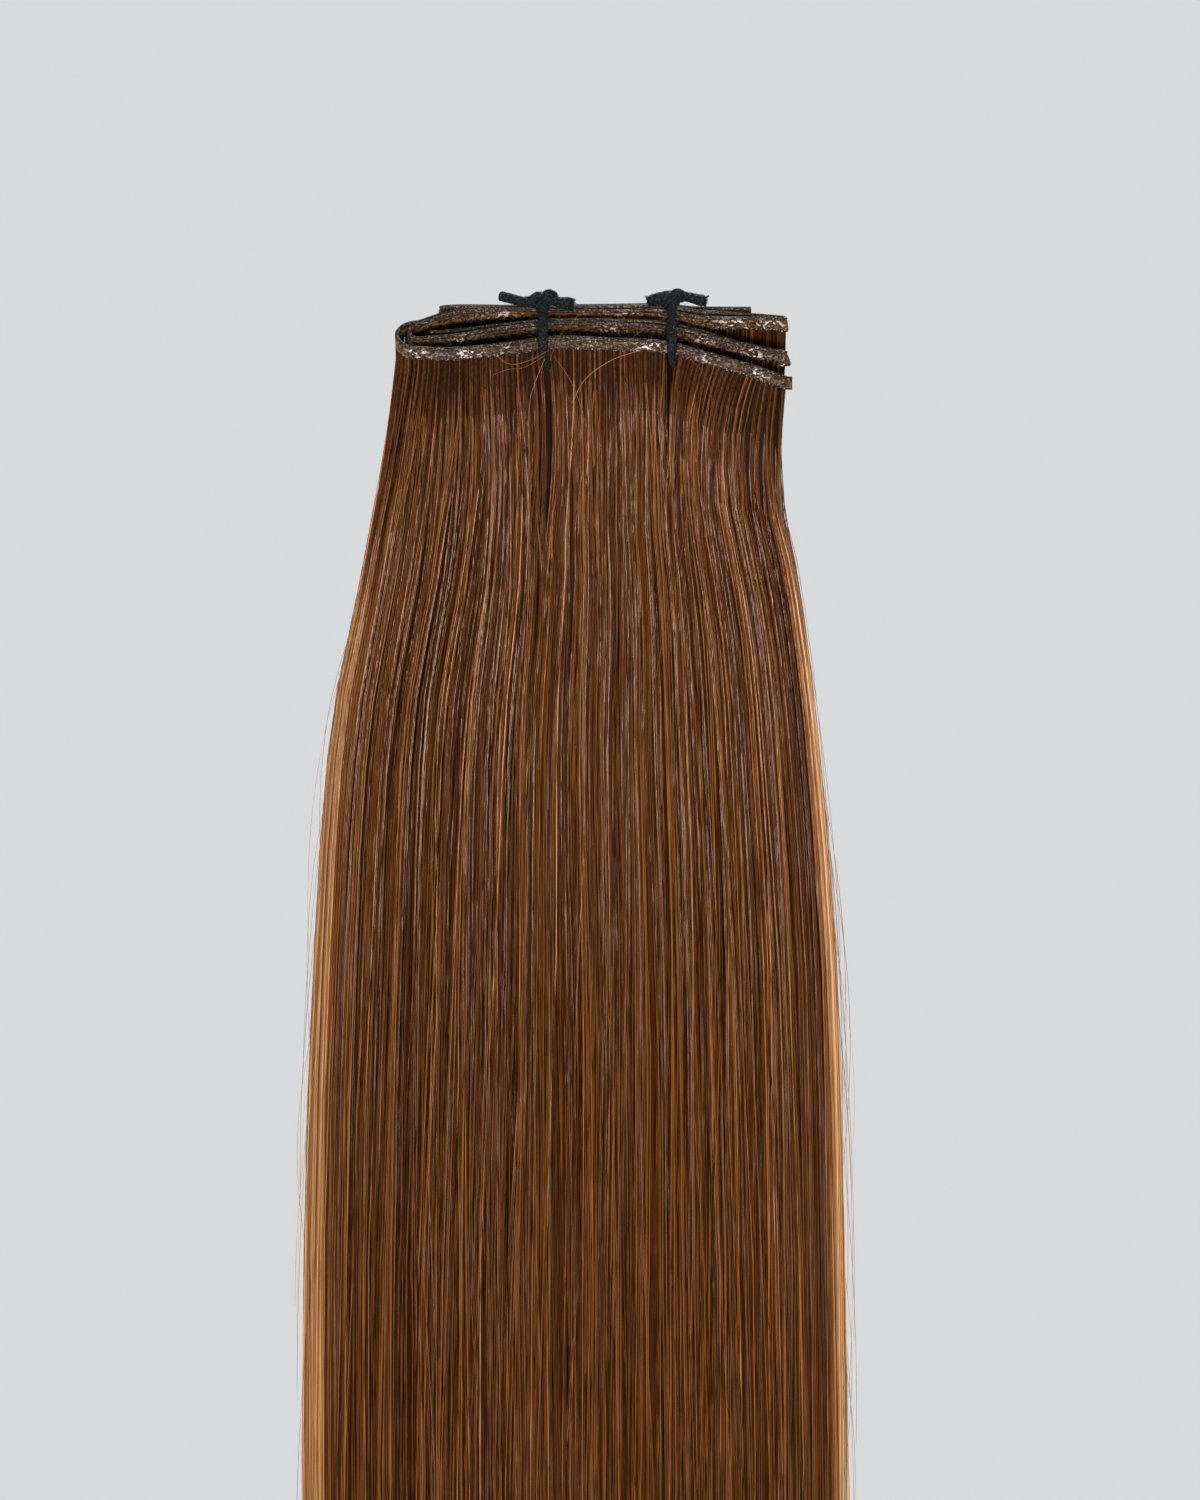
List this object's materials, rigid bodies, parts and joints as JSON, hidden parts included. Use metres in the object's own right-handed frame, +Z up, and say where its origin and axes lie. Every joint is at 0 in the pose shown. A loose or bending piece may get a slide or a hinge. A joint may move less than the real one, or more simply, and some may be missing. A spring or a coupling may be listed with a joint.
{
  "type": "genius weft hair extension",
  "caption": "Bundle of straight brown hair on a thin sealed weft strip, folded to and fro, tied with black elastic cord and hanging from its top.",
  "frame": {"origin": "the hanging point, on the top edges of the folded strips at the back of the bundle, between the two ties", "axes": "+Z up along the hanging hair, the front of the bundle faces -Y, +X to the right seen from the front"},
  "size_m": [0.1376, 0.0269, 0.4751],
  "materials": {
    "strip": "clear sealed coat over brown stitched hair roots, crinkled and glossy, dark beaded edge",
    "hair": "straight chestnut brown hair with a soft sheen",
    "cord": "matte black braided elastic"
  },
  "bodies": {
    "root": {"weft_strip": "strip", "weft_strip_back": "strip", "hair_fall": "hair", "tie_cord_left": "cord", "tie_cord_right": "cord"}
  },
  "joints": []
}
